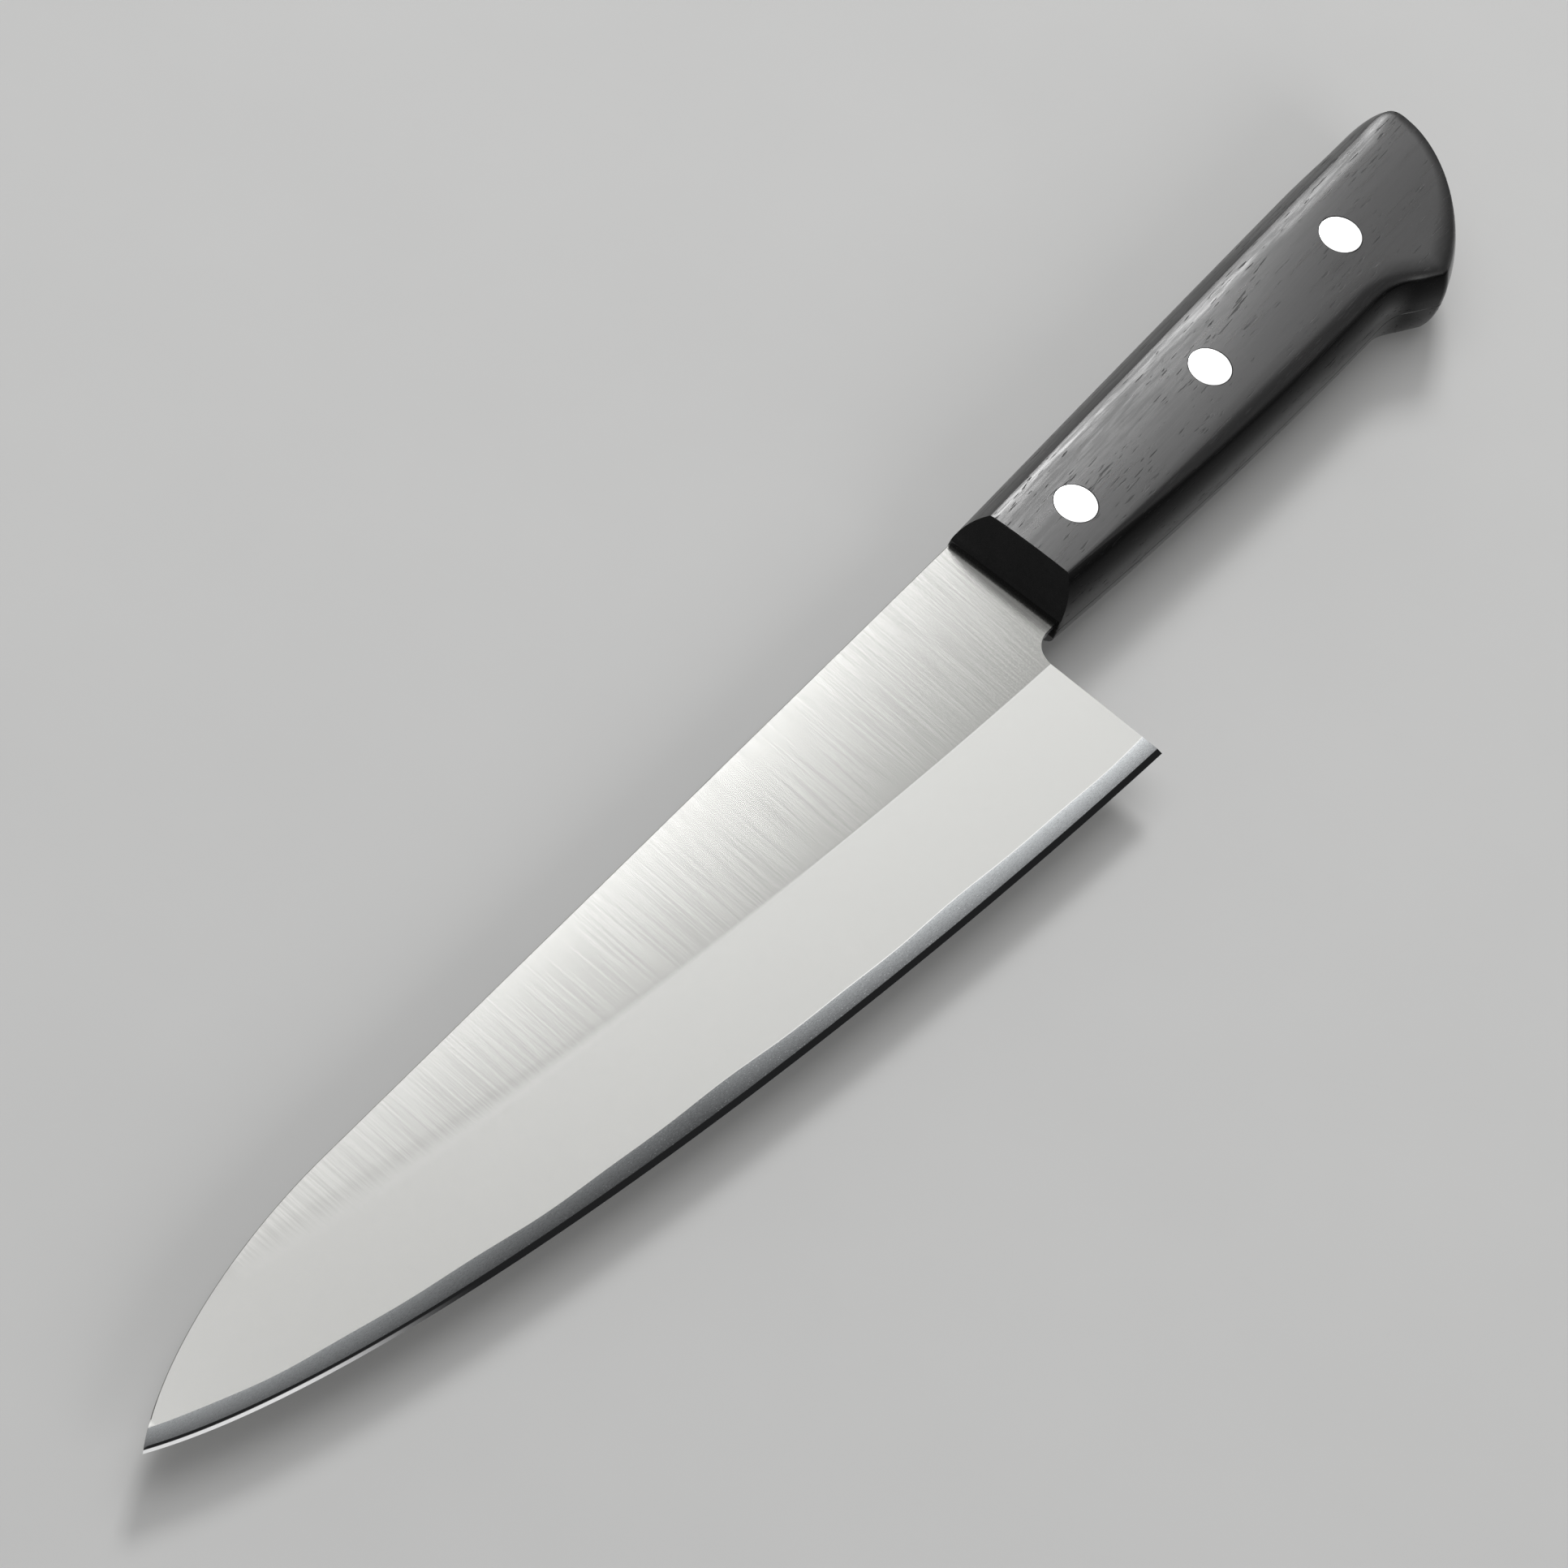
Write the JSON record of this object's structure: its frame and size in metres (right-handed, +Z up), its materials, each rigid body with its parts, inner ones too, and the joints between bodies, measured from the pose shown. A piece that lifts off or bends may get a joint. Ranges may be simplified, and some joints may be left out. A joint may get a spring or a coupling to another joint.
{
  "type": "chef knife",
  "caption": "Western-handled chef knife with a three-layer clad blade, wide ground bevel, flared butt and flush round rivets, lying on its side.",
  "frame": {"origin": "on the surface the knife lies on, under the middle of its box", "axes": "+X towards the butt, +Y towards the spine with the edge facing -Y, +Z up out of the left side of the blade"},
  "size_m": [0.3398, 0.0494, 0.018],
  "materials": {
    "core_steel": "hard core steel, finely ground, with a narrow polished honed band",
    "cladding_steel": "satin brushed across the flat, fine matte on the wide bevel",
    "scale_wood": "black resin-filled wood, satin, with fine lengthwise pores",
    "rivet_metal": "polished flush"
  },
  "bodies": {
    "root": {"blade_core": "core_steel", "blade_cladding_left": "cladding_steel", "blade_cladding_right": "cladding_steel", "handle_scale_left": "scale_wood", "handle_scale_right": "scale_wood", "rivet_socket_front": "rivet_metal", "rivet_socket_middle": "rivet_metal", "rivet_socket_rear": "rivet_metal", "rivet_pin_front": "rivet_metal", "rivet_pin_middle": "rivet_metal", "rivet_pin_rear": "rivet_metal"}
  },
  "joints": []
}
